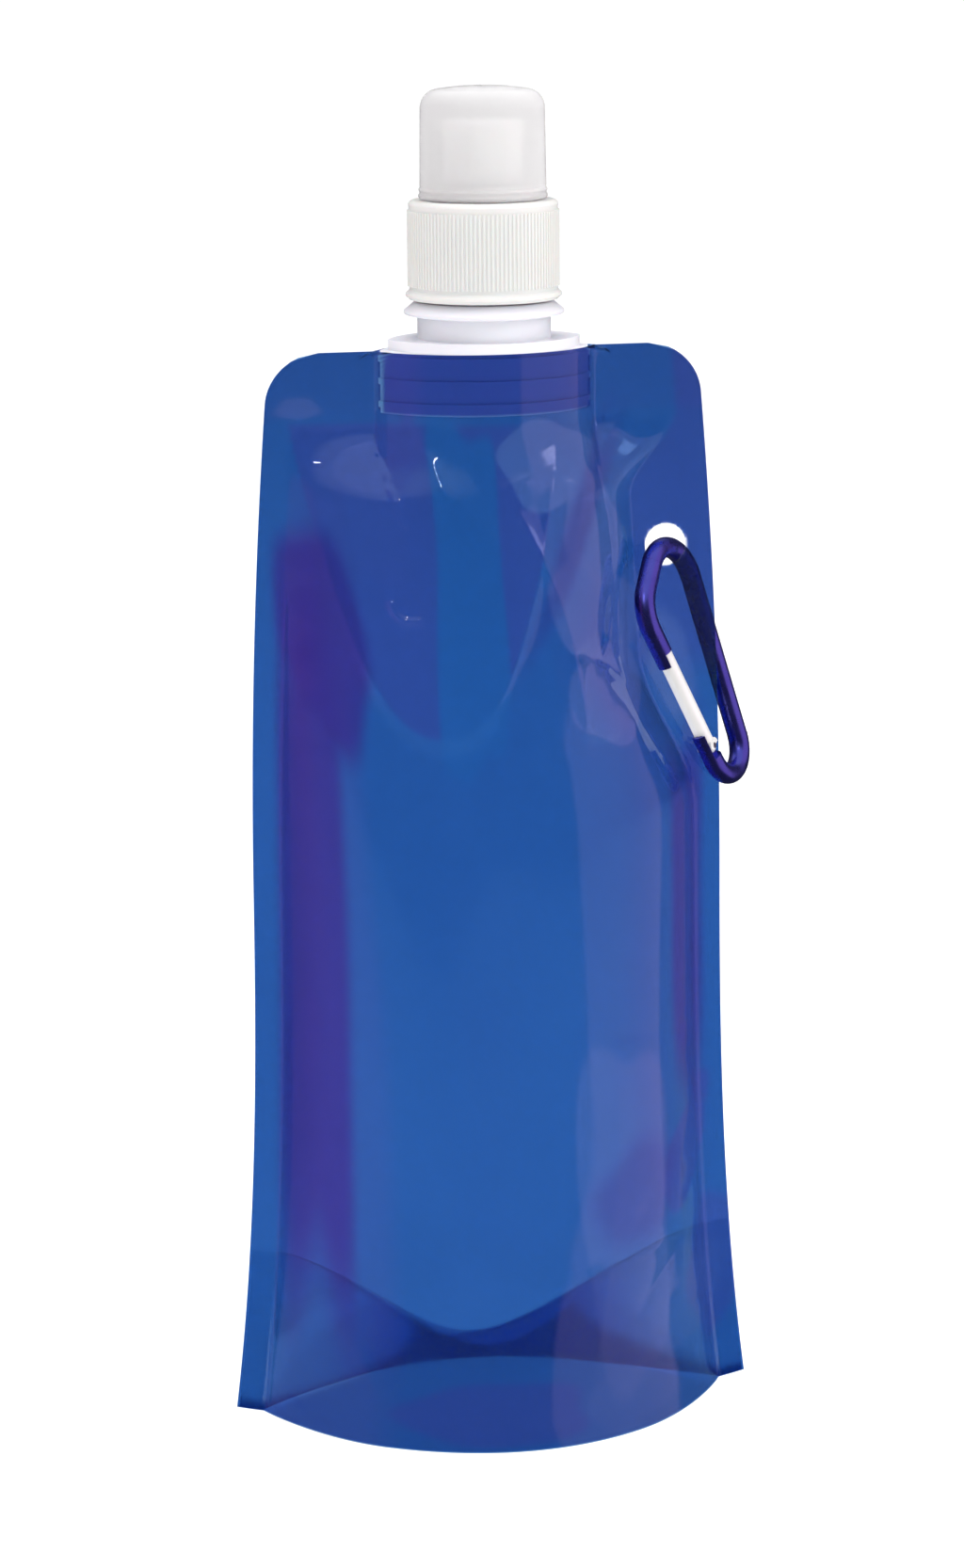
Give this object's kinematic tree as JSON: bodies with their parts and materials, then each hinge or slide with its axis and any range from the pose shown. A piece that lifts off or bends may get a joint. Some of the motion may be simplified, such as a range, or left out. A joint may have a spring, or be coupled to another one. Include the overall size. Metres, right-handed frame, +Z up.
{
  "type": "folding water bottle",
  "caption": "Stand-up film pouch bottle with a welded spout, screw cap, push-pull nozzle under a dust cover, and a spring-gate carabiner through its side seal",
  "frame": {"origin": "on the table, at the middle of the bottle's bounding box, under the spout's axis", "axes": "+Z up along the spout's axis, front panel towards -Y, carabiner towards +X"},
  "size_m": [0.1087, 0.064, 0.2695],
  "materials": {
    "film": "glossy laminated film, tinted see-through blue",
    "white_plastic": "satin moulded polyethylene",
    "cap_plastic": "satin moulded polypropylene",
    "nozzle_plastic": "satin moulded polyethylene",
    "clear_cover": "frosted see-through polypropylene",
    "liner": "soft sealing foam",
    "anodised": "glossy purple-blue anodising",
    "gate_metal": "polished bare metal",
    "steel": "plain steel"
  },
  "bodies": {
    "root": {"front_panel": "film", "back_panel": "film", "bottom_gusset": "film", "spout": "white_plastic"},
    "cap_carriage": {"cap_liner": "liner"},
    "cap": {"screw_cap": "cap_plastic"},
    "nozzle": {"pull_nozzle": "nozzle_plastic"},
    "cover": {"dust_cover": "clear_cover"},
    "carabiner": {"carabiner_body": "anodised"},
    "gate": {"carabiner_gate": "gate_metal", "gate_pivot_pin": "steel", "gate_spring": "steel"},
    "plunger": {"spring_plunger": "steel"}
  },
  "joints": [
    {"name": "cap_lift", "type": "slide", "parent": "root", "child": "cap_carriage", "axis": [0, 0, 1], "range_m": [0, 0.0056]},
    {"name": "cap_turn", "type": "hinge", "parent": "cap_carriage", "child": "cap", "pos_m": [0, 0, 0.2355], "axis": [0, 0, 1], "range_deg": [0, 630]},
    {"name": "nozzle_pull", "type": "slide", "parent": "cap", "child": "nozzle", "axis": [0, 0, 1], "range_m": [0, 0.005]},
    {"name": "cover_lift", "type": "slide", "parent": "cap", "child": "cover", "axis": [0, 0, 1], "range_m": [0, 0.03]},
    {"name": "carabiner_swing", "type": "hinge", "parent": "root", "child": "carabiner", "pos_m": [0.0368, 0, 0.1774], "axis": [0, -1, 0], "range_deg": [0, 150]},
    {"name": "gate_open", "type": "hinge", "parent": "carabiner", "child": "gate", "pos_m": [0.04413, -0.00596, 0.13678], "axis": [-0.7178, 0.6561, -0.2332], "range_deg": [0, 24], "stiffness_Nm_per_rad": 0.05, "springref_deg": -22.92},
    {"name": "plunger_slide", "type": "slide", "parent": "gate", "child": "plunger", "axis": [-0.446, -0.176, 0.8775], "range_m": [0, 0.0003351]}
  ],
  "couplings": [
    {"joint": "cap_lift", "follows": "cap_turn", "m_per_rad": 0.0005093},
    {"joint": "plunger_slide", "follows": "gate_open", "m_per_rad": 0.0008}
  ]
}
